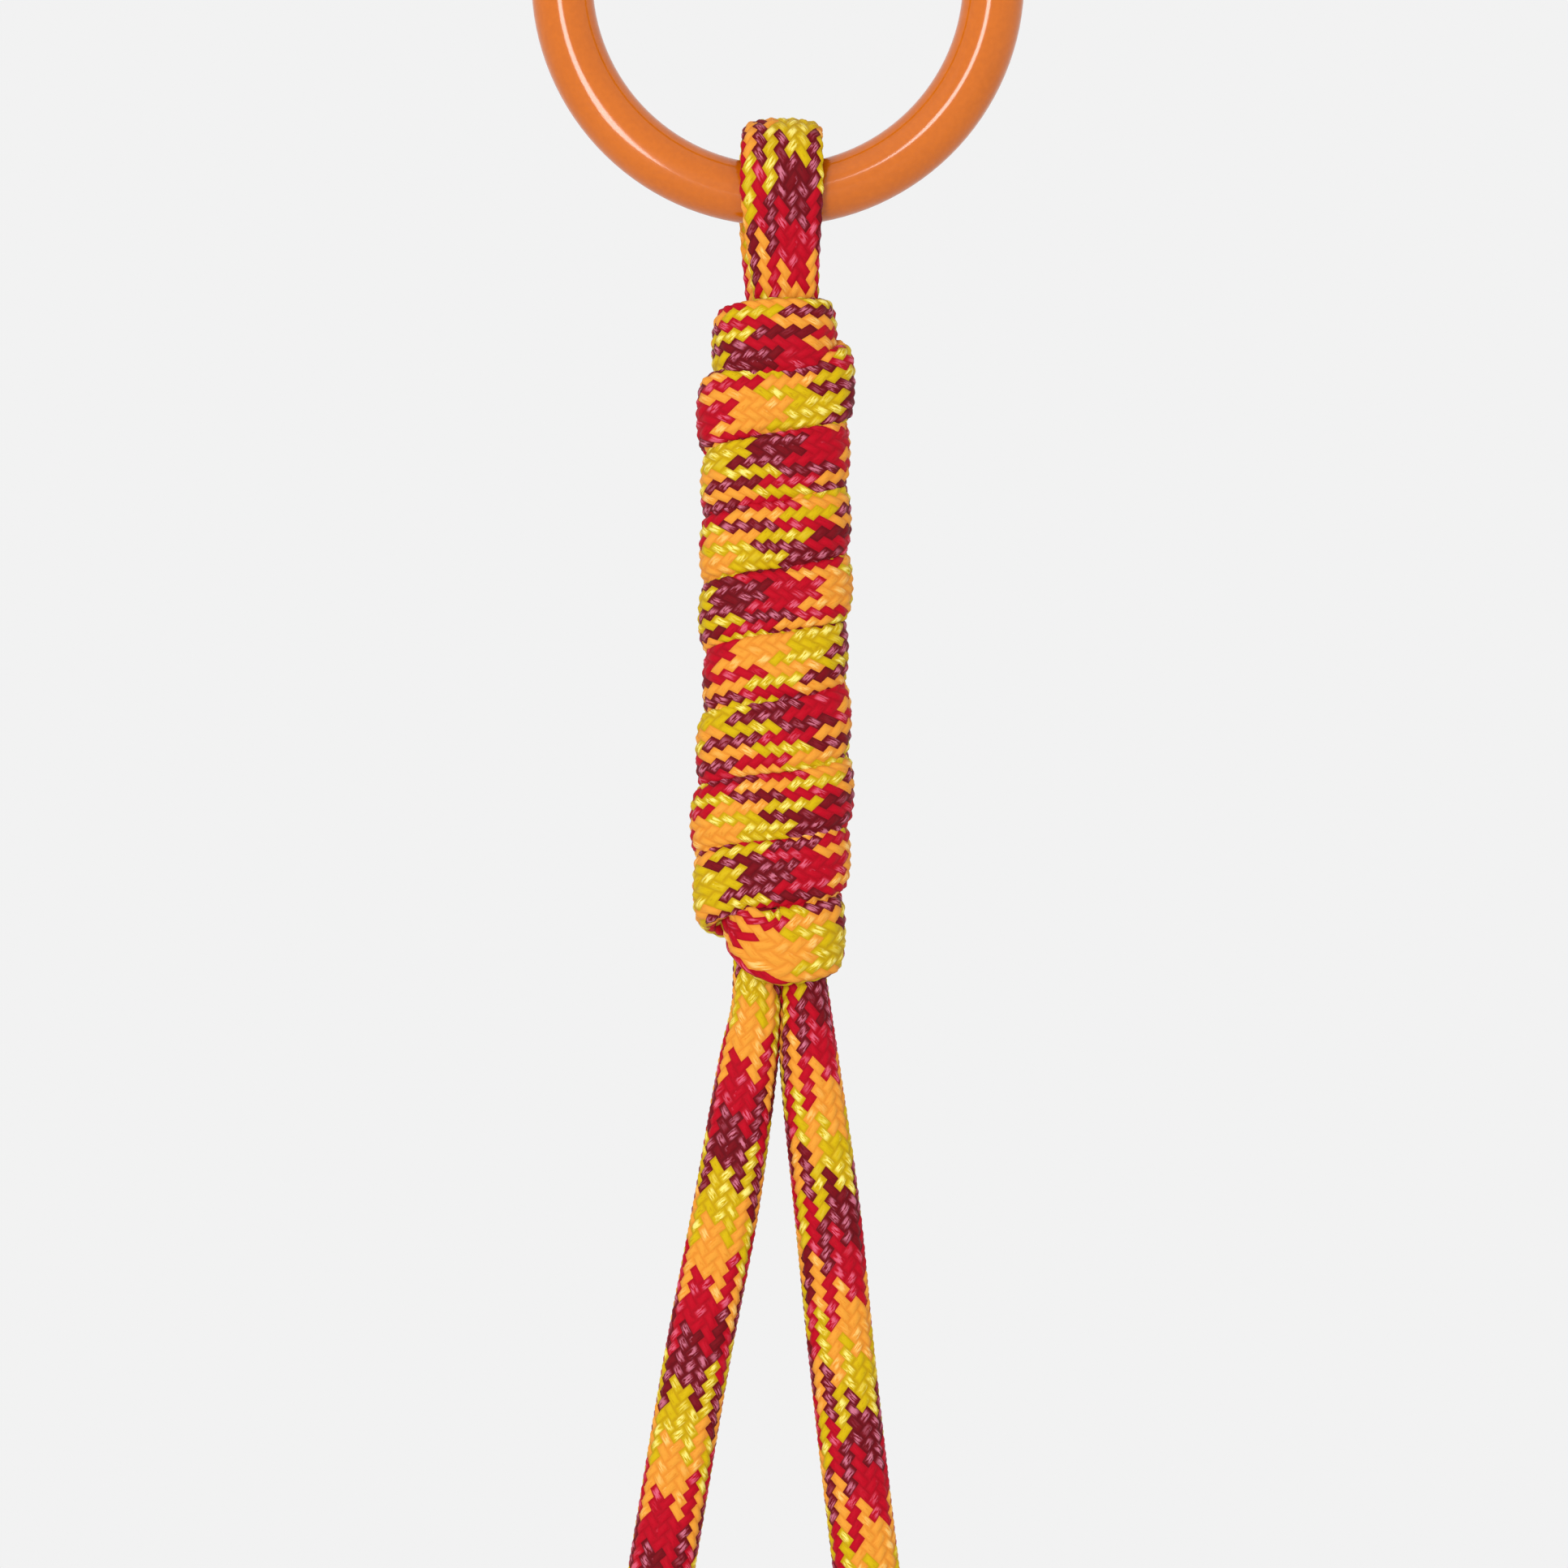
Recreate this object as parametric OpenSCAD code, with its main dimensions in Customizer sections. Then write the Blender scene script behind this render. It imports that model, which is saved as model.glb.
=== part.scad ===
// Ring-and-cord wrist strap: a painted ring, a cord looped through it, a wrapped knot and a hand loop.
// All sizes are in millimetres. The origin is the inner top of the ring, where it hangs.

/* [Ring] */
// Diameter of the ring's eye
ring_id = 24; // [18:1:36]
// Thickness of the ring's round wire
wire_d = 4; // [3:0.5:6]

/* [Cord] */
// Width of the cord where it hangs free, which is slightly oval
cord_w = 4.2; // [3.6:0.1:5]
// Depth of the cord where it hangs free
cord_t = 3.1; // [2.6:0.1:4]
// Width of the cord where it lies flat over the ring
flat_w = 5; // [4.4:0.1:6]
// Thickness of the cord where it lies flat over the ring
flat_t = 1.2; // [0.9:0.1:2]
// Inner radius of the cord's bend over the ring
bend_r = 2.5; // [2.4:0.1:3.2]
// Height of the bend's centre over the middle of the ring's wire
bend_rise = 1.3; // [1:0.1:2]

/* [Knot] */
// Distance from the ring's wire down to the first turn
neck_len = 6.95; // [6:0.05:12]
// Distance between neighbouring turns
turn_pitch = 4.4; // [4:0.1:5.2]
// Space between neighbouring turns
turn_gap = 0.1; // [0.05:0.05:0.3]
// Thickness of the cord in a turn
turn_t = 1.9; // [1.6:0.1:2.4]
// Thickness of the cord in the first turn, which is pulled tighter
first_turn_t = 1.3; // [1.1:0.1:1.9]
// Width of a strand inside the knot
core_w = 2.8; // [2.5:0.1:3.4]
// Depth of a strand inside the knot
core_t = 2.4; // [2.1:0.1:2.8]

/* [Hand loop] */
// Height of the hand loop below the knot
loop_len = 144; // [120:2:180]
// Widest part of the hand loop, between the cord's centres
loop_w = 32; // [24:1:44]

/* [Hidden] */
$fn = 96;

wire_r = wire_d / 2;
ring_r = ring_id / 2 + wire_r;
ring_z = -ring_id / 2;
wire_z = ring_z - ring_r;

// The cord bends over the wire, and both sides of it lean in towards the knot by neck_lean degrees.
bight_r = bend_r + flat_t / 2;
bight_z = wire_z + bend_rise;
neck_end_y = flat_t / 2 + 0.2;
neck_end_z = wire_z - neck_len;
neck_drop = bight_z - neck_end_z;
neck_lean = asin(bight_r / norm([neck_drop, neck_end_y])) - atan(neck_end_y / neck_drop);
neck_reach = (neck_drop - bight_r * sin(neck_lean)) / cos(neck_lean);

// Each turn closes around the two strands of the core, which lie side by side.
turn_count = 10;
turn_h = turn_pitch - turn_gap;
knot_top_z = neck_end_z - turn_gap;
knot_end_z = knot_top_z - (turn_count - 1) * turn_pitch - turn_h;
core_gap = 0.1;
core_x = core_w / 2 + core_gap / 2;
turn_in_r = core_t / 2 + core_gap;
turn_side = core_x + core_w / 2 + core_gap - turn_in_r;

// The hand loop's route: x and y across, z down from the knot, for a loop 144 high and 32 wide.
route = [[-2.15, 0, 0], [-2.2, 0, -4], [-3.4, 0, -13], [-5.3, 0, -23], [-7.5, 0, -36],
         [-10.6, -0.5, -54], [-13.8, -1, -76], [-16.6, -1.5, -98], [-17.2, -2, -112],
         [-15, -2, -125], [-9.6, -2, -135], [-2, -2, -139.5], [5.6, -2, -136.6],
         [11.4, -1.5, -127.5], [14, -1, -114], [13.4, -1, -98], [11, -0.5, -76],
         [8, 0, -54], [5.7, 0, -36], [4.2, 0, -23], [3.2, 0, -13], [2.3, 0, -4], [2.15, 0, 0]];
route_len = 144;
route_w = 32;
leg_clear = 0.3;
leg_z = knot_end_z - leg_clear - cord_t / 2;
steps = 3;
sides = 10;

module strap_section(across, along) {
    square([across, along - across], center = true);
    for (end = [-1, 1])
        translate([0, end * (along - across) / 2])
            circle(d = across);
}

// A straight strand from the bend beside the wire, cut level where it enters the knot.
module neck_strand() {
    run = neck_reach + flat_t;
    intersection() {
        translate([0, -bight_r * cos(neck_lean), bight_z - bight_r * sin(neck_lean)])
            rotate([neck_lean, 0, 0])
                translate([0, 0, -run])
                    linear_extrude(height = run)
                        rotate(90)
                            strap_section(flat_t, flat_w);
        translate([-flat_w, -2 * bight_r, neck_end_z])
            cube([2 * flat_w, 4 * bight_r, 2 * neck_len]);
    }
}

module core_strand() {
    translate([-core_x, 0, knot_end_z])
        linear_extrude(height = neck_end_z - knot_end_z)
            rotate(90)
                strap_section(core_t, core_w);
}

module turn_half(thick) {
    mid_r = turn_in_r + thick / 2;
    translate([turn_side, 0, 0])
        rotate([0, 0, -90])
            rotate_extrude(angle = 180)
                translate([mid_r, 0])
                    strap_section(thick, turn_h);
    translate([-turn_side, mid_r, 0])
        rotate([90, 0, 90])
            linear_extrude(height = 2 * turn_side)
                strap_section(thick, turn_h);
}

module knot_turn(index, thick) {
    translate([0, 0, knot_top_z - turn_h / 2 - (index - 1) * turn_pitch])
        union() {
            turn_half(thick);
            rotate([0, 0, 180])
                turn_half(thick);
        }
}

// Sweeps an oval cord along points, wide in the plane of X and Z, with rounded ends.
function unit(v) = v / norm(v);
function spline(a, b, c, d, t) =
    0.5 * (2 * b + (c - a) * t + (2 * a - 5 * b + 4 * c - d) * t * t + (3 * b - a - 3 * c + d) * t * t * t);
function place(p) = [p[0] * loop_w / route_w, p[1], leg_z + p[2] * loop_len / route_len];
function at(p, i) = p[max(0, min(len(p) - 1, i))];
function smooth(p) = [for (i = [0 : len(p) - 2], k = [0 : steps - 1])
    spline(at(p, i - 1), p[i], p[i + 1], at(p, i + 2), k / steps)];
function heading(p, i) = unit(at(p, i + 1) - at(p, i - 1));
function hoop(centre, ahead, size) =
    let (side = unit(cross(ahead, [0, 1, 0])), up = cross(side, ahead))
    [for (k = [0 : sides - 1])
        centre + size * (cos(360 * k / sides) * side * cord_w + sin(360 * k / sides) * up * cord_t) / 2];
function cap(centre, ahead, angles) =
    [for (a = angles) each hoop(centre + cord_t / 2 * sin(a) * ahead, ahead, cos(a))];

module cord_tube(p) {
    last = len(p) - 1;
    points = concat(
        cap(p[0], heading(p, 0), [-75, -50, -25, 0]),
        [for (i = [1 : last - 1]) each hoop(p[i], heading(p, i), 1)],
        cap(p[last], heading(p, last), [0, 25, 50, 75]));
    hoops = len(points) / sides;
    spans = [for (i = [0 : hoops - 2], k = [0 : sides - 1])
        [i * sides + k, i * sides + (k + 1) % sides]];
    polyhedron(points, concat(
        [[for (k = [0 : sides - 1]) k]],
        [for (s = spans) [s[0], s[0] + sides, s[1]]],
        [for (s = spans) [s[0] + sides, s[1] + sides, s[1]]],
        [[for (k = [sides - 1 : -1 : 0]) (hoops - 1) * sides + k]]));
}

module ring() {
    color("darkorange")
        translate([0, 0, ring_z])
            rotate([90, 0, 0])
                rotate_extrude()
                    translate([ring_r, 0])
                        circle(d = wire_d);
}

module loop_bight() {
    color("gold")
        translate([0, 0, bight_z])
            rotate([90, 0, 90])
                rotate([0, 0, -neck_lean])
                    rotate_extrude(angle = 180 + 2 * neck_lean)
                        translate([bight_r, 0])
                            strap_section(flat_t, flat_w);
}

module neck_front() {
    color("orange")
        neck_strand();
}

module neck_back() {
    color("crimson")
        mirror([0, 1, 0])
            neck_strand();
}

module core_left() {
    color("orange")
        core_strand();
}

module core_right() {
    color("crimson")
        mirror([1, 0, 0])
            core_strand();
}

module wrap_01() {
    color("orange")
        knot_turn(1, first_turn_t);
}

module wrap_02() {
    color("crimson")
        knot_turn(2, turn_t);
}

module wrap_03() {
    color("orange")
        knot_turn(3, turn_t);
}

module wrap_04() {
    color("crimson")
        knot_turn(4, turn_t);
}

module wrap_05() {
    color("orange")
        knot_turn(5, turn_t);
}

module wrap_06() {
    color("crimson")
        knot_turn(6, turn_t);
}

module wrap_07() {
    color("orange")
        knot_turn(7, turn_t);
}

module wrap_08() {
    color("crimson")
        knot_turn(8, turn_t);
}

module wrap_09() {
    color("orange")
        knot_turn(9, turn_t);
}

module wrap_10() {
    color("crimson")
        knot_turn(10, turn_t);
}

module wrist_loop() {
    placed = [for (p = route) place(p)];
    color("gold")
        cord_tube(concat(smooth(placed), [placed[len(placed) - 1]]));
}

ring();
loop_bight();
neck_front();
neck_back();
core_left();
core_right();
wrap_01();
wrap_02();
wrap_03();
wrap_04();
wrap_05();
wrap_06();
wrap_07();
wrap_08();
wrap_09();
wrap_10();
wrist_loop();
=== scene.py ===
"""The look of a ring-and-cord wrist strap, built around its CAD frame. Lengths are in millimetres,
and MM turns them into Blender's metres. The floor's radius and all that places and sizes a light
are in metres and degrees."""

import math

import bpy
import numpy as np
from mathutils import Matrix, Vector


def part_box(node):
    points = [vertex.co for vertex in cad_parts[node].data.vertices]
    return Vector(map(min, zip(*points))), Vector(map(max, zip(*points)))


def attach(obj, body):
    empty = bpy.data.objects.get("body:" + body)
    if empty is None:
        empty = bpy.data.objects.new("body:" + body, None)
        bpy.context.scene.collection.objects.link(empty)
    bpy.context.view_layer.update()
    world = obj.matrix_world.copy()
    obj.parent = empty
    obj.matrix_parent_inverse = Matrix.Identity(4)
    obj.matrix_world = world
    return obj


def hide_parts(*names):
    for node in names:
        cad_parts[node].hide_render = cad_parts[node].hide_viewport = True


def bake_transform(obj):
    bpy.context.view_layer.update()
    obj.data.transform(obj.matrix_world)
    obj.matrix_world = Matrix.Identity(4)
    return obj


MM = 0.001
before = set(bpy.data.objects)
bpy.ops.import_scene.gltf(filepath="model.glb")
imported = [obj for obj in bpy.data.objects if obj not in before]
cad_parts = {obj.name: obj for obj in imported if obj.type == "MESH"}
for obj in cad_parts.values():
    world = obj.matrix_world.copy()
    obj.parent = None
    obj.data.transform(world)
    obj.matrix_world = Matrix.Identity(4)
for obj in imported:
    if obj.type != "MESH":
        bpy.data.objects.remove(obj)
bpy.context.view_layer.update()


# ---------------------------------------------------------------- sizes

CORD_W = 4.2       # the free cord's width
CORD_T = 3.1       # and its depth


def node_box(node):
    """A CAD node's lowest and highest corners, in millimetres."""
    low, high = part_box(node)
    return np.array(low) / MM, np.array(high) / MM


ring_low, ring_high = node_box("ring")
wire_r = ring_high[1]
wire_z = ring_low[2] + wire_r
knot_top = node_box("wrap_01")[1][2]
turn_reach = node_box("wrap_02")[1][1]  # of a turn, forwards and back
core_low, core_high = node_box("core_right")
core_x = (core_low[0] + core_high[0]) / 2
loop_low, loop_high = node_box("wrist_loop")
leg_z = loop_high[2] - CORD_T / 2


# ---------------------------------------------------------------- camera

VIEW_SIZE = 101.7  # what the picture takes in at the object, up and across
VIEW_X = 0.4       # the picture's middle
VIEW_Z = -64.2
LENS = 150
SENSOR = 36


def make_camera():
    data = bpy.data.cameras.new("camera")
    data.lens = LENS
    data.sensor_width = SENSOR
    camera = bpy.data.objects.new("camera", data)
    bpy.context.scene.collection.objects.link(camera)
    camera.location = (VIEW_X * MM, -VIEW_SIZE * MM * LENS / SENSOR, VIEW_Z * MM)
    camera.rotation_euler = (math.pi / 2, 0, 0)
    bpy.context.scene.camera = camera


make_camera()


# ---------------------------------------------------------------- shader nodes

def srgb(red, green, blue):
    """A colour as a screen shows it, 0 to 255, in the linear numbers that a shader takes."""
    parts = [c / 255 for c in (red, green, blue)]
    return [c / 12.92 if c <= 0.04045 else ((c + 0.055) / 1.055) ** 2.4 for c in parts] + [1.0]


class Graph:
    """A material whose nodes are written as short calls."""

    def __init__(self, name):
        self.material = bpy.data.materials.new(name)
        self.material.use_nodes = True
        self.tree = self.material.node_tree
        self.shader = self.tree.nodes["Principled BSDF"]

    def feed(self, socket, value):
        """Links another node's output to the socket, or sets the socket to a plain value."""
        if isinstance(value, bpy.types.NodeSocket):
            self.tree.links.new(value, socket)
        else:
            socket.default_value = value

    def node(self, kind, values=(), **settings):
        made = self.tree.nodes.new("ShaderNode" + kind)
        for name, value in settings.items():
            setattr(made, name, value)
        for name, value in dict(values).items():
            self.feed(made.inputs[name], value)
        return made

    def math(self, operation, *values):
        made = self.node("Math", operation=operation)
        for socket, value in zip(made.inputs, values):
            self.feed(socket, value)
        return made.outputs[0]

    def choose(self, factor, no, yes):
        """no where factor is 0, yes where it is 1, and a blend between."""
        return self.math("MULTIPLY_ADD", factor, self.math("SUBTRACT", yes, no), no)

    def ease(self, value, low, high):
        """0 where value is at low, 1 where it is at high, and a smooth step between."""
        made = self.node("MapRange", {"Value": value, "From Min": low, "From Max": high},
                         interpolation_type="SMOOTHSTEP")
        return made.outputs["Result"]

    def vector(self, x, y, z):
        return self.node("CombineXYZ", {"X": x, "Y": y, "Z": z}).outputs[0]

    def noise(self, vector, scale, detail):
        made = self.node("TexNoise", {"Vector": vector, "Scale": scale, "Detail": detail})
        return made.outputs[0]

    def mix(self, factor, first, second):
        """The first colour where factor is 0, the second where it is 1."""
        made = self.node("Mix", data_type="RGBA")
        self.feed(made.inputs["Factor"], factor)
        self.feed(made.inputs[6], first)
        self.feed(made.inputs[7], second)
        return made.outputs[2]

    def steps(self, value, colours):
        """One plain colour after another as value goes from 0 to 1."""
        made = self.node("ValToRGB", {"Fac": value})
        ramp = made.color_ramp
        ramp.interpolation = "CONSTANT"
        ramp.elements[0].color = colours[0]
        ramp.elements[1].position = 1 / len(colours)
        ramp.elements[1].color = colours[1]
        for index, colour in enumerate(colours[2:], 2):
            ramp.elements.new(index / len(colours)).color = colour
        return made.outputs["Color"]

    def bump(self, height, strength, distance):
        """Bumps in the surface, distance millimetres high where height is 1 and strength is full."""
        made = self.node("Bump", {"Strength": strength, "Distance": distance * MM, "Height": height})
        self.feed(self.shader.inputs["Normal"], made.outputs["Normal"])

    def plain(self, **values):
        """Sets the shader's inputs, whose names are written with _ for each space."""
        for name, value in values.items():
            self.shader.inputs[name.replace("_", " ")].default_value = value


# ---------------------------------------------------------------- the cord's material

STRANDS = 16       # each way round the braid
FLOAT_SPAN = 4     # a strand passes over two others and under two

# Yarn colours in their order along the cord: red, burgundy, yellow, orange.
YARN = [srgb(178, 0, 28), srgb(114, 6, 19), srgb(200, 168, 2), srgb(224, 149, 50)]
# Painted highlights: lighter colours where a float catches the light.
YARN_GLINT = [srgb(208, 86, 111), srgb(192, 104, 126), srgb(236, 220, 116), srgb(234, 186, 104)]
# Painted shade: darker colours where shade falls in the gaps between floats and between filaments.
YARN_PAINTED_SHADE = [srgb(138, 0, 18), srgb(66, 2, 10), srgb(160, 110, 0), srgb(206, 110, 22)]
GLINT_SHARE = [0.35, 0.8, 0.6, 0.35]  # about what share of each colour's floats gets a painted highlight

FILAMENTS = 6      # the noise's scale across a float
STREAK = 1.2       # and along it, which draws the noise out into streaks
SEED_SPREAD = 60   # how far apart in the noise two floats can be
GAP_SHADE = 0.45   # how much painted shade shows between floats
FINE_SHADE = 0.5   # and between filaments


def braid_floats(g):
    """Where each point lies across and along its float, from the mesh's braid lattice, with the
    place of the float's strand in the colours' order, 0 to 1, and a random number for the float."""
    lattice = g.node("Attribute", attribute_name="braid").outputs["Vector"]
    split = g.node("SeparateXYZ", {"Vector": lattice})
    u, v = split.outputs[0], split.outputs[1]
    i, j = g.math("ROUND", u), g.math("ROUND", v)
    place = g.math("FLOORED_MODULO", g.math("ADD", i, j), FLOAT_SPAN)
    over = g.math("LESS_THAN", place, 1.5)
    odd = g.math("FLOORED_MODULO", place, 2)
    du, dv = g.math("SUBTRACT", u, i), g.math("SUBTRACT", v, j)
    across = g.choose(over, dv, du)
    along = g.math("ADD", g.choose(over, du, dv), g.math("SUBTRACT", odd, 0.5))
    strand = g.math("FLOORED_MODULO", g.choose(over, g.math("MULTIPLY", j, -1), i), STRANDS)
    tone = g.math("DIVIDE", g.math("ADD", strand, 0.5), STRANDS)
    under = g.math("SUBTRACT", 1, over)
    seed_at = g.vector(g.math("SUBTRACT", i, g.math("MULTIPLY", odd, under)),
                       g.math("SUBTRACT", j, g.math("MULTIPLY", odd, over)), 0)
    seed = g.node("TexWhiteNoise", {"Vector": seed_at}).outputs["Value"]
    return across, along, tone, seed


def cord_material():
    """The colours and filaments of a two-over, two-under braid, with painted highlights and painted
    shade.
    """
    g = Graph("braided_cord")
    across, along, tone, seed = braid_floats(g)
    sideways, endways = g.math("ABSOLUTE", across), g.math("ABSOLUTE", along)

    # Filaments run along each float, and each float gets its own measure of painted highlight.
    fine_at = g.vector(g.math("MULTIPLY", across, FILAMENTS), g.math("MULTIPLY", along, STREAK),
                       g.math("MULTIPLY", seed, SEED_SPREAD))
    fine = g.noise(fine_at, 1.0, 3.0)
    edge = g.ease(sideways, 0.28, 0.5)
    tip = g.ease(endways, 0.55, 1.0)
    middle = g.math("SUBTRACT", 1, g.ease(endways, 0.2, 0.8))
    core = g.math("MULTIPLY", middle, g.math("SUBTRACT", 1, edge))
    share = g.steps(tone, [[level] * 3 + [1.0] for level in GLINT_SHARE])
    lit = g.math("MULTIPLY", g.ease(g.math("ADD", seed, share), 0.9, 1.2), core)
    glint = g.math("MULTIPLY", g.ease(fine, 0.42, 0.56), lit)

    # Painted shade: a darker colour shows in the gaps between floats and between filaments, where
    # shade falls.
    gap = g.math("MULTIPLY", g.math("MAXIMUM", edge, tip), GAP_SHADE)
    painted_shade = g.math("MAXIMUM", gap, g.math("MULTIPLY", g.ease(fine, 0.46, 0.3), FINE_SHADE))
    colour = g.mix(painted_shade, g.steps(tone, YARN), g.steps(tone, YARN_PAINTED_SHADE))
    colour = g.mix(glint, colour, g.steps(tone, YARN_GLINT))
    g.feed(g.shader.inputs["Base Color"], colour)

    dome = g.math("SUBTRACT", 1, g.math("POWER", g.math("MULTIPLY", across, 2), 2))
    fall = g.math("SUBTRACT", 1, g.math("POWER", endways, 3))
    height = g.math("MULTIPLY_ADD", fine, 0.35, g.math("MULTIPLY", dome, fall))
    g.bump(height, strength=0.6, distance=0.08)
    g.feed(g.shader.inputs["Roughness"], g.choose(glint, 0.65, 0.45))
    g.plain(Specular_IOR_Level=0.1, Sheen_Weight=0.02, Sheen_Roughness=0.5)
    return g.material


CORD = cord_material()


# ---------------------------------------------------------------- the ring's material

PAINT_DARK = srgb(191, 95, 0)
PAINT_LIGHT = srgb(198, 100, 2)
CLOUDS = 140       # noise scales, each per metre
RIPPLES = 420
GRAINS = 2600


def paint_material():
    """Glossy orange paint under a clear coat, with a faint ripple."""
    g = Graph("orange_paint")
    place = g.node("TexCoord").outputs["Object"]
    cloud = g.noise(place, CLOUDS, 3.0)
    grain = g.noise(place, GRAINS, 2.0)
    mottle = g.math("MULTIPLY_ADD", grain, 0.5, g.math("MULTIPLY", cloud, 0.5))
    colour = g.mix(g.ease(mottle, 0.35, 0.65), PAINT_DARK, PAINT_LIGHT)
    g.feed(g.shader.inputs["Base Color"], colour)
    g.feed(g.shader.inputs["Roughness"], g.math("MULTIPLY_ADD", grain, 0.12, 0.3))
    ripple = g.noise(place, RIPPLES, 2.0)
    g.bump(g.math("MULTIPLY_ADD", grain, 0.15, ripple), strength=0.25, distance=0.05)
    g.plain(Specular_IOR_Level=0.0, Coat_Weight=1.0, Coat_Roughness=0.12, Coat_IOR=1.5)
    return g.material


PAINT = paint_material()


# ---------------------------------------------------------------- lines

def smooth_line(points, steps=12):
    """A smooth curve through given rows of numbers."""
    p = np.array(points, float)
    p = np.vstack([p[:1], p, p[-1:]])
    t = np.linspace(0, 1, steps, endpoint=False)[:, None]
    parts = []
    for a, b, c, d in zip(p, p[1:], p[2:], p[3:]):
        parts.append(0.5 * (2 * b + (c - a) * t + (2 * a - 5 * b + 4 * c - d) * t ** 2
                            + (3 * b - a - 3 * c + d) * t ** 3))
    return np.vstack(parts + [p[-1:]])


def follow(at, places, rows):
    """The rows of numbers at other places along the same line."""
    rows = np.asarray(rows, float)
    if rows.ndim == 1:
        return np.interp(at, places, rows)
    return np.column_stack([np.interp(at, places, column) for column in rows.T])


def run_of(points):
    """How far along the line each point is."""
    gaps = np.linalg.norm(np.diff(points, axis=0), axis=1)
    return np.concatenate([[0], np.cumsum(gaps)])


def unit(rows):
    return rows / np.linalg.norm(rows, axis=-1, keepdims=True)


def power_of(value, power):
    """A power of the value's size, with the value's own sign."""
    return np.sign(value) * np.abs(value) ** power


# ---------------------------------------------------------------- the braid as a mesh

CUTS = 3           # mesh points across a strand
RING_POINTS = STRANDS * CUTS
PLACES = 2 * RING_POINTS  # round the cord, of which a ring's points take every second one
LIFT = 0.2         # how far a float's middle stands above the valleys
ACROSS_FALL = 2.3  # how steeply a float falls off across it
ALONG_FALL = 1.45  # and along it
OUTLINE_STEPS = 240
PICK = 0.905       # from one pick to the next along a straight cord


def float_height(u, v):
    """Height of the strand on top at each lattice place: round across, dipping at a float's ends."""
    i, j = np.round(u), np.round(v)
    place = (i + j) % FLOAT_SPAN
    over = place < 2
    across = np.where(over, u - i, v - j)
    along = np.where(over, v - j, u - i) + place % 2 - 0.5
    return np.cos(ACROSS_FALL * across) * np.cos(ALONG_FALL * along)


def section_points(width, depth, squareness, fraction):
    """Points and outward directions on an oval, at fractions of its girth from the front."""

    def outline(angle):
        return (power_of(np.sin(angle), 2 / squareness) * width / 2,
                power_of(np.cos(angle), 2 / squareness) * depth / 2)

    sweep = np.linspace(0, 2 * math.pi, OUTLINE_STEPS + 1)
    girth = run_of(np.column_stack(outline(sweep)))
    x, y = outline(np.interp(fraction % 1, girth / girth[-1], sweep))
    out_x = power_of(2 * x / width, squareness - 1) / width
    out_y = power_of(2 * y / depth, squareness - 1) / depth
    size = np.hypot(out_x, out_y)
    return x, y, out_x / size, out_y / size


def braid_points(centre, ahead, front, width, depth, turn, squareness):
    """The rings of mesh points. Each ring is turned by one place against the one before it."""
    side = np.cross(front, ahead)
    points = np.empty((len(centre), RING_POINTS, 3))
    for k in range(len(centre)):
        q = 2 * np.arange(RING_POINTS) + k % 2
        x, y, out_x, out_y = section_points(width[k], depth[k], squareness, q / PLACES + turn[k])
        rise = LIFT * (float_height((q + k) / (2 * CUTS), (q - k) / (2 * CUTS)) - 0.5)
        x = x + rise * out_x
        y = y + rise * out_y
        points[k] = centre[k] + x[:, None] * side[k] + y[:, None] * front[k]
    return points


def braid_faces(rings):
    """The faces, and the place of each of their corners in the braid's lattice. A corner is (k, q):
    ring k along the cord and place q round it. The points' own numbers follow from that."""

    def index(k, q):
        return k * RING_POINTS + (q % PLACES) // 2

    def quads():
        k, q = np.meshgrid(np.arange(1, rings - 1), np.arange(RING_POINTS), indexing="ij")
        q = 2 * q + (k + 1) % 2
        return [(k - 1, q), (k, q - 1), (k + 1, q), (k, q + 1)]

    def rim(ring, inner):
        q = 2 * np.arange(RING_POINTS) + inner % 2
        low, high = (ring, q - 1), (ring, q + 1)
        return [low, (inner, q), high] if inner > ring else [low, high, (inner, q)]

    faces, lattice = [], []
    for corners in (quads(), rim(0, 1), rim(rings - 1, rings - 2)):
        corners = [np.broadcast_arrays(k, q) for k, q in corners]
        faces += np.stack([index(k, q).ravel() for k, q in corners], axis=1).tolist()
        uv = [np.stack([(q + k).ravel(), (q - k).ravel()], axis=1) for k, q in corners]
        lattice.append(np.stack(uv, axis=1).reshape(-1, 2) / (2 * CUTS))

    # Each end is closed by triangles around a point in its middle.
    first_middle, last_middle = rings * RING_POINTS, rings * RING_POINTS + 1
    last_ring = index(rings - 1, 0)
    for n in range(RING_POINTS):
        following = (n + 1) % RING_POINTS
        faces.append([first_middle, n, following])
        faces.append([last_middle, last_ring + following, last_ring + n])
    lattice.append(np.zeros((6 * RING_POINTS, 2)))
    return faces, np.vstack(lattice)


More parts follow.
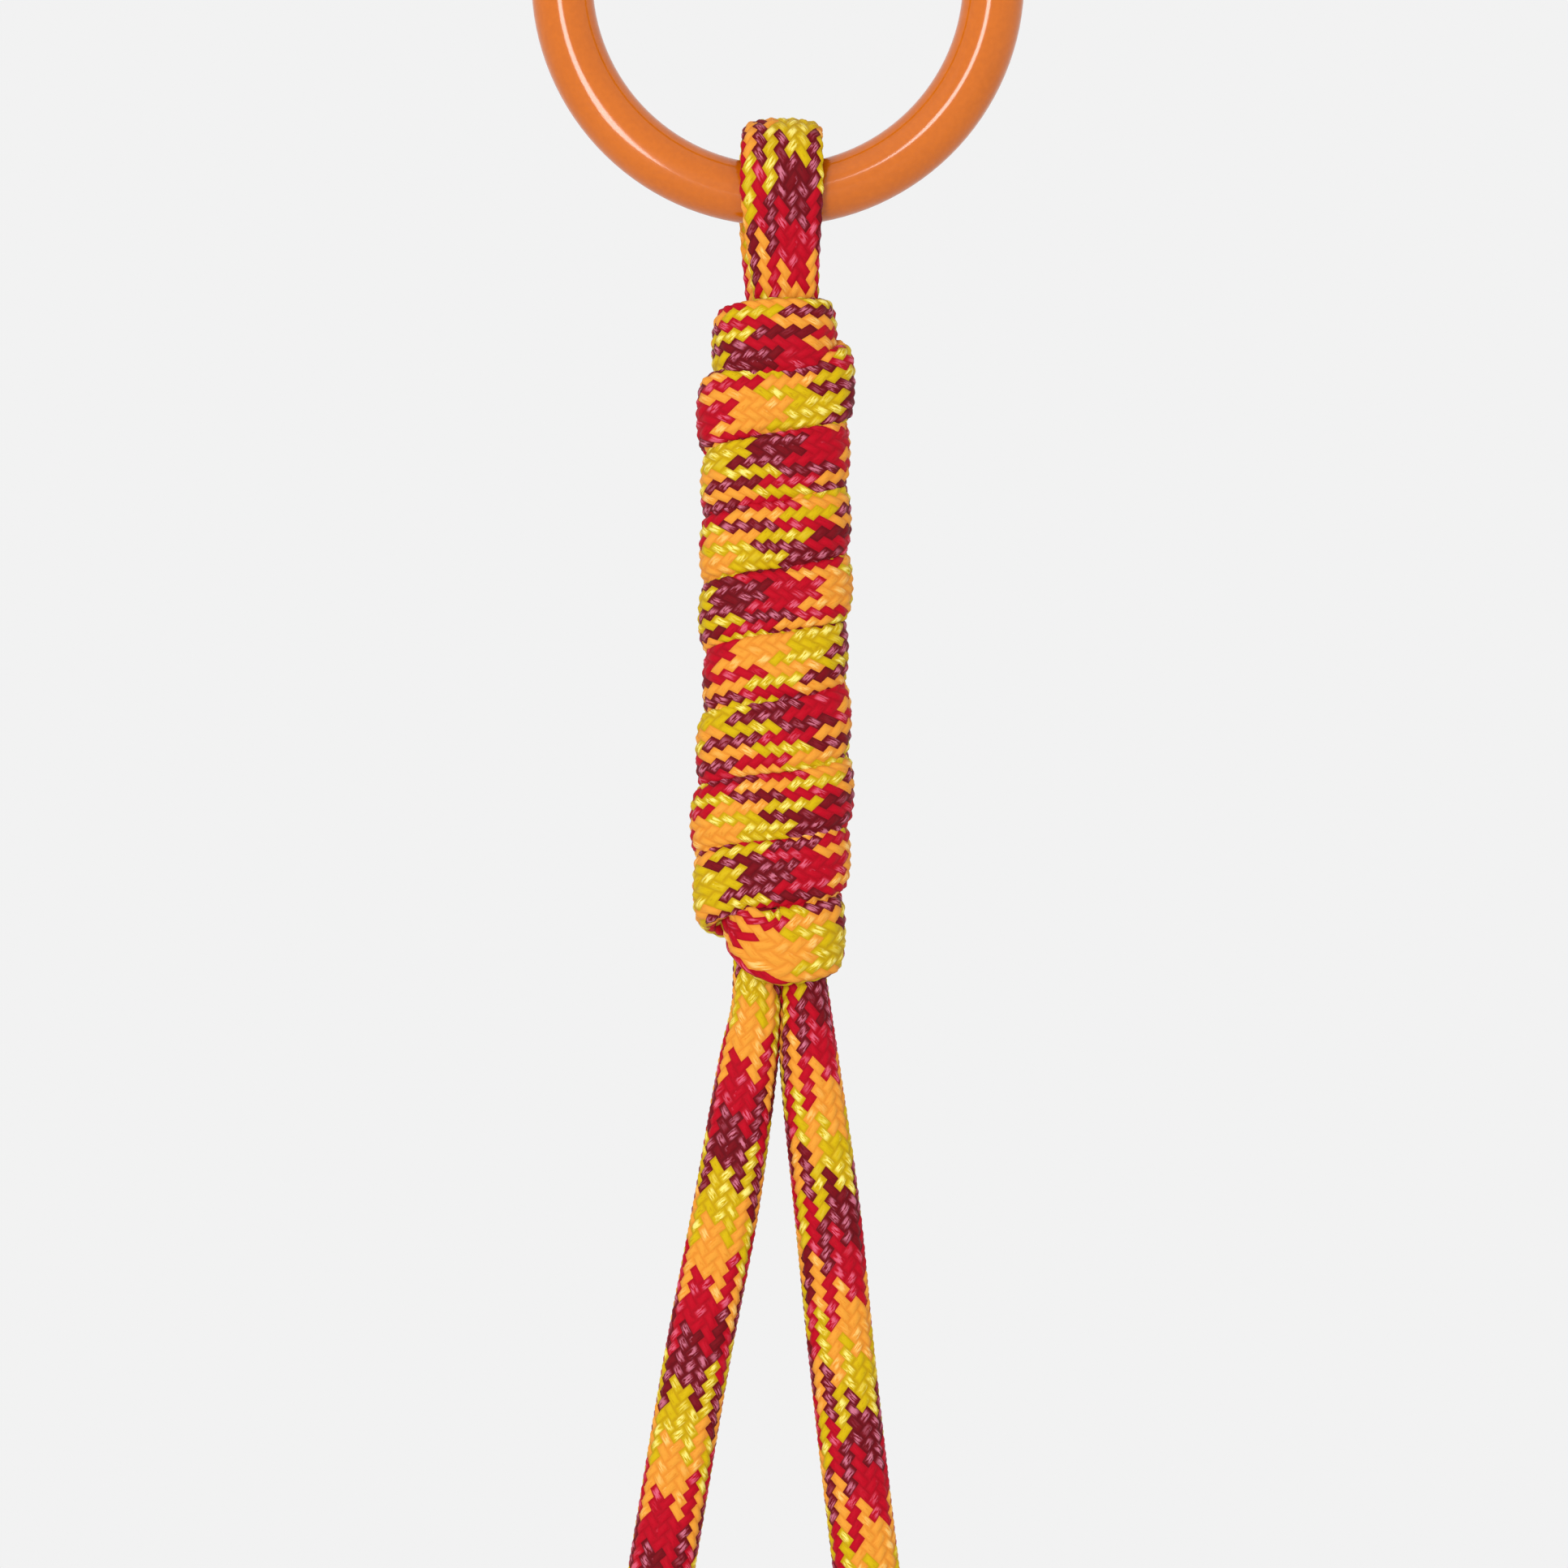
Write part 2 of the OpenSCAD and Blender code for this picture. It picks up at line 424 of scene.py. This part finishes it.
def braid(name, spine, facing, width, depth, ribs, picks, first_pick=0, squareness=2.4):
    """A braided tube. Along spine go facing, the way its front looks, its width and depth, ribs, how
    far round the line lies where both directions' colours agree, and picks, the count of picks."""
    rings = 2 * CUTS * int(picks[-1]) + 1
    at = np.arange(rings) / (2 * CUTS)
    centre = follow(at, picks, spine)
    ahead = unit(np.gradient(centre, axis=0))
    front = follow(at, picks, facing)
    front = unit(front - np.sum(front * ahead, axis=1, keepdims=True) * ahead)
    points = braid_points(centre, ahead, front, follow(at, picks, width), follow(at, picks, depth),
                          follow(at, picks, ribs) / STRANDS, squareness)
    vertices = np.vstack([points.reshape(-1, 3), centre[:1], centre[-1:]])
    faces, lattice = braid_faces(rings)
    lattice = np.column_stack([lattice + [first_pick, -first_pick], np.zeros(len(lattice))])

    mesh = bpy.data.meshes.new(name)
    mesh.from_pydata((vertices * MM).tolist(), [], faces)
    mesh.attributes.new("braid", "FLOAT_VECTOR", "CORNER").data.foreach_set(
        "vector", lattice.astype(np.float32).ravel())
    mesh.polygons.foreach_set("use_smooth", [True] * len(mesh.polygons))
    mesh.materials.append(CORD)
    piece = bpy.data.objects.new(name, mesh)
    bpy.context.scene.collection.objects.link(piece)
    return piece


# ---------------------------------------------------------------- hand loop

# The route of the hand loop's middle from the left leg round to the right, as in the CAD:
# x and y across, z from leg_z, which is just under the knot.
ROUTE = [[-2.15, 0, 0], [-2.2, 0, -4], [-3.4, 0, -13], [-5.3, 0, -23], [-7.5, 0, -36],
         [-10.6, -0.5, -54], [-13.8, -1, -76], [-16.6, -1.5, -98], [-17.2, -2, -112],
         [-15, -2, -125], [-9.6, -2, -135], [-2, -2, -139.5], [5.6, -2, -136.6],
         [11.4, -1.5, -127.5], [14, -1, -114], [13.4, -1, -98], [11, -0.5, -76],
         [8, 0, -54], [5.7, 0, -36], [4.2, 0, -23], [3.2, 0, -13], [2.3, 0, -4], [2.15, 0, 0]]

# Each leg is squeezed narrow where it leaves the knot, so these rows of x, y, z, width and depth
# take the place of the route's first two and last two points.
LEFT_TOP = [[-1.4, 0, 6, 2.7, 2.4], [-1.4, 0, 2.5, 2.9, 2.8], [-1.4, 0, 0, 3.2, 3.4],
            [-2, 0, -4, 3.8, 3.4]]
RIGHT_TOP = [[2.1, 0, -4, 3.8, 3.4], [1.8, 0, 0, 3.2, 3.4], [1.6, 0, 2.5, 2.9, 2.8],
             [1.45, 0, 6, 2.7, 2.4]]
LOOP_PICKS = 342
LOOP_FIRST_PICK = 5
LEFT_RIBS = -0.6   # where the colours agree on the left leg, in ribs from its middle
RIGHT_RIBS = -1.9  # and on the right leg


def make_hand_loop():
    free = [point + [CORD_W, CORD_T] for point in ROUTE[2:-2]]
    line = smooth_line(LEFT_TOP + free + RIGHT_TOP)
    spine, width, depth = line[:, :3] + [0, 0, leg_z], line[:, 3], line[:, 4]
    run = run_of(spine)
    picks = run / run[-1] * LOOP_PICKS
    ribs = np.interp(run, [0, run[-1]], [LEFT_RIBS, RIGHT_RIBS])
    facing = np.tile([0.0, -1.0, 0.0], (len(spine), 1))
    piece = braid("hand_loop_cord", spine, facing, width, depth, ribs, picks, LOOP_FIRST_PICK)
    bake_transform(piece)
    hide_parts("wrist_loop")


make_hand_loop()


# ---------------------------------------------------------------- the loop over the ring

BEND_R = 3.1       # of the cord's middle, over the ring's wire
BEND_RISE = 1.1    # the bend's centre above the wire's middle
ENTRY_Y = 0.8      # from a strand's middle to the knot's axis, where the strand enters the knot
ENTRY_RISE = 0.1   # of that place above the knot's top
HIDDEN_LEN = 4     # how far below the knot's top each strand ends
HIDDEN_LEAN = 0.1  # how much nearer the axis it ends
BEND_STEPS = 40
SIDE_STEPS = 8     # along each strand between the knot and the bend

# Up the front strand, over the ring and down the back strand: x of the middle, width and depth.
FRONT_SIDE = [[0.5, 4.0, 1.8], [0.35, 4.7, 1.5], [0.25, 5.3, 1.2]]
OVER_RING = [[0.3, 5.0, 1.5]]
BACK_SIDE = [[0.05, 5.3, 1.2], [0.15, 5.0, 1.5], [0.3, 4.6, 1.8]]
BIGHT_PICKS = 34
BIGHT_FIRST_PICK = 10
BIGHT_RIBS = -1.2


def make_ring_loop():
    centre_z = wire_z + BEND_RISE
    drop = centre_z - knot_top
    lean = math.asin(BEND_R / math.hypot(drop, ENTRY_Y)) - math.atan(ENTRY_Y / drop)
    arc = np.linspace(-lean, math.pi + lean, BEND_STEPS + 1)
    over = np.column_stack([-BEND_R * np.cos(arc), centre_z + BEND_R * np.sin(arc)])
    entry = np.array([-ENTRY_Y, knot_top + ENTRY_RISE])
    hidden = np.array([-ENTRY_Y + HIDDEN_LEAN, knot_top - HIDDEN_LEN])
    front = np.vstack([hidden, np.linspace(entry, over[0], SIDE_STEPS + 1)[:-1]])
    back = front[::-1] * [-1, 1]
    flat = np.vstack([front, over, back])
    run = run_of(flat)

    # The rows stand at the knot, half way up and beside the wire, and on top of the bend.
    marks = [1, 1 + SIDE_STEPS // 2, 1 + SIDE_STEPS]
    marks = marks + [len(run) // 2] + [-1 - mark for mark in marks[::-1]]
    rows = follow(run, run[marks], FRONT_SIDE + OVER_RING + BACK_SIDE)
    spine = np.column_stack([rows[:, 0], flat])
    ahead = np.gradient(flat, axis=0)
    facing = np.column_stack([np.zeros(len(flat)), -ahead[:, 1], ahead[:, 0]])
    picks = run / run[-1] * BIGHT_PICKS
    ribs = np.full(len(run), BIGHT_RIBS)
    piece = braid("ring_loop_cord", spine, facing, rows[:, 1], rows[:, 2], ribs, picks,
                  BIGHT_FIRST_PICK, squareness=2.3)
    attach(piece, "knot")
    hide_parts("loop_bight", "neck_front", "neck_back")


make_ring_loop()


# ---------------------------------------------------------------- the knot's ten turns

# Each turn where it crosses the front: its middle below the knot's top, its height, how far it
# reaches to the left and to the right, the count of picks, and the ribs that its colours are turned.
TURNS = [[2.2, 4.8, 4.0, 3.8, 3.0, 2.5],
         [6.2, 4.8, 5.2, 5.2, 27.7, 1.4],
         [10.8, 4.6, 5.0, 4.5, 53.3, -2.0],
         [15.0, 4.7, 5.0, 4.8, 79.2, -5.0],
         [19.3, 4.4, 5.2, 4.8, 106.4, -8.8],
         [23.6, 4.8, 4.8, 4.5, 132.3, -10.0],
         [28.0, 5.0, 5.2, 4.8, 157.4, -11.0],
         [32.6, 4.6, 5.5, 4.9, 183.8, -13.3],
         [36.8, 4.6, 5.9, 4.6, 212.4, -15.8],
         [41.5, 5.2, 3.6, 4.3, 237.6, -15.0]]
FIRST_PICK = 3     # TURNS counts this many at the first turn's front
LEAD_PICKS = 14    # the cord really has this many before it
TAIL_PICKS = 5     # and this many after the last turn's front

# The first turn is thinner than the others. Its front stands further forward than the second's,
# whose upper edge it covers. Turns are counted from the first turn's front.
FIRST_T = 1.6
TURN_T = 1.9
THICKENS_AT = [0.15, 0.55]
FIRST_REACH = 3.3
SECOND_REACH = 2.9
REACHES_AT = [0.25, 0.75, 1, 1.25]
START_PITCH = 0.1  # of the hidden half turn before the first front, in a whole turn
LOOP_SQUARENESS = 2.5  # of a turn, seen from above

HALF_TURN = 24     # points in half a turn
FINE_STEPS = 4     # finer steps from each of them to the next
ROW_STEPS = 12     # steps from each row of TURNS to the next

# The hidden start inside the knot and the last end tucked under the ninth turn:
# x, y, z from the knot's top, height and depth.
START = [[-2.4, 0.2, -3.2, 3.0, 1.4], [-1.7, 1.2, -2.8, 3.8, 1.4]]
TUCK = [[-0.9, -2.15, -41.3, 4.6, 1.9], [-1.9, -1.8, -40.6, 3.9, 1.9],
        [-2.6, -0.9, -39.4, 3.0, 1.8], [-2.8, 0.2, -38.2, 2.6, 1.6]]


def turns_line():
    """Rows of x, y, z, height and depth from half a turn before the first front to the last one."""
    turns = np.arange(-HALF_TURN, 2 * HALF_TURN * (len(TURNS) - 1) + 1) / (2 * HALF_TURN)
    table = smooth_line(TURNS, ROW_STEPS)
    drop, height, left, right, _, _ = follow(turns, np.arange(len(table)) / ROW_STEPS, table).T
    drop = np.where(turns < 0, TURNS[0][0] + START_PITCH * turns, drop)
    thick = np.interp(turns, THICKENS_AT, [FIRST_T, TURN_T])
    reach_y = np.interp(turns, REACHES_AT, [FIRST_REACH, SECOND_REACH, SECOND_REACH, turn_reach])
    sway, swing = np.sin(2 * math.pi * turns), np.cos(2 * math.pi * turns)
    reach_x = np.where(sway > 0, left, right)
    x = -(reach_x - thick / 2) * power_of(sway, 2 / LOOP_SQUARENESS)
    y = -(reach_y - thick / 2) * power_of(swing, 2 / LOOP_SQUARENESS)
    return np.column_stack([x, y, -drop, height, thick])


def make_turns():
    line = smooth_line(np.vstack([START, turns_line(), TUCK]), FINE_STEPS)
    spine, width, depth = line[:, :3] + [0, 0, knot_top], line[:, 3], line[:, 4]
    run = run_of(spine)
    counts, turned = np.array(TURNS)[:, 4:].T
    counts = counts + LEAD_PICKS - FIRST_PICK
    fronts = run[[FINE_STEPS * (len(START) + HALF_TURN * (2 * n + 1)) for n in range(len(TURNS))]]
    picks = np.interp(run, [0, *fronts, run[-1]], [0, *counts, counts[-1] + TAIL_PICKS])
    ribs = np.interp(run, fronts, turned)
    ahead = np.gradient(spine, axis=0)
    facing = np.column_stack([-ahead[:, 1], ahead[:, 0], np.zeros(len(run))])
    piece = braid("knot_turns_cord", spine, facing, width, depth, ribs, picks,
                  FIRST_PICK - LEAD_PICKS, squareness=2.5)
    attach(piece, "knot")
    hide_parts(*[f"wrap_{n:02d}" for n in range(1, len(TURNS) + 1)])


make_turns()


# ---------------------------------------------------------------- strands inside the knot

CORE_FOOT = 3      # how far the strands stop short of the CAD core's lower end
CORE_HEAD = 1      # and of its upper end
CORE_POINTS = 30


def make_core(name, node, x):
    low, high = node_box(node)
    z = np.linspace(low[2] + CORE_FOOT, high[2] - CORE_HEAD, CORE_POINTS)
    spine = np.column_stack([np.full(CORE_POINTS, x), np.zeros(CORE_POINTS), z])
    facing = np.tile([0.0, -1.0, 0.0], (CORE_POINTS, 1))
    width = np.full(CORE_POINTS, high[0] - low[0] - LIFT)
    depth = np.full(CORE_POINTS, high[1] - low[1] - LIFT)
    ribs = np.zeros(CORE_POINTS)
    piece = braid(name, spine, facing, width, depth, ribs, run_of(spine) / PICK)
    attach(piece, "knot")
    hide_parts(node)


make_core("core_left_cord", "core_left", -core_x)
make_core("core_right_cord", "core_right", core_x)


# ---------------------------------------------------------------- ring

# The CAD ring's shape is right, so it stays and only gets a better material.
for material_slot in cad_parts["ring"].material_slots:
    material_slot.material = PAINT


# ---------------------------------------------------------------- floor and light

FLOOR_R = 0.8
FLOOR_SIDES = 96
FLOOR_GAP = 4      # below the hand loop, in millimetres
FLOOR_GREY = srgb(232, 232, 232)
PALE = srgb(242, 242, 242)


def aim(item, target):
    """Turns a light's face to the target."""
    direction = np.array(target) - np.array(item.location)
    item.rotation_euler = (
        math.atan2(np.hypot(direction[0], direction[1]), -direction[2]), 0,
        math.atan2(-direction[0], direction[1]))


def area_light(name, azimuth, elevation, distance, width, height, power, roll=0):
    """A soft light, seen from the ring at azimuth degrees right of the camera and elevation up.
    roll leans its top over to the right, in degrees."""
    data = bpy.data.lights.new(name, "AREA")
    data.shape = "RECTANGLE"
    data.size, data.size_y = width, height
    data.energy = power
    light = bpy.data.objects.new(name, data)
    bpy.context.scene.collection.objects.link(light)
    az, el = math.radians(azimuth), math.radians(elevation)
    centre = np.array([0, 0, wire_z * MM])
    light.location = centre + distance * np.array(
        [math.sin(az) * math.cos(el), -math.cos(az) * math.cos(el), math.sin(el)])
    aim(light, centre)
    light.rotation_euler.rotate_axis("Z", -math.radians(roll))


def make_floor():
    bpy.ops.mesh.primitive_circle_add(vertices=FLOOR_SIDES, radius=FLOOR_R, fill_type="NGON",
                                      location=(0, 0, (loop_low[2] - FLOOR_GAP) * MM))
    floor = bpy.context.object
    floor.name = "floor"
    g = Graph("pale_floor")
    g.plain(Base_Color=FLOOR_GREY, Roughness=0.8)
    floor.data.materials.append(g.material)


def make_light():
    world = bpy.data.worlds.new("studio")
    world.use_nodes = True
    sky = world.node_tree.nodes["Background"]
    sky.inputs["Color"].default_value = PALE
    sky.inputs["Strength"].default_value = 1.0
    bpy.context.scene.world = world
    area_light("strip", azimuth=-17, elevation=-5, distance=1.0, width=0.22, height=0.95, power=8.0,
               roll=18)
    area_light("key", azimuth=-35, elevation=45, distance=1.2, width=0.8, height=0.8, power=0.4)
    bpy.context.scene.view_settings.view_transform = "Standard"


make_floor()
make_light()
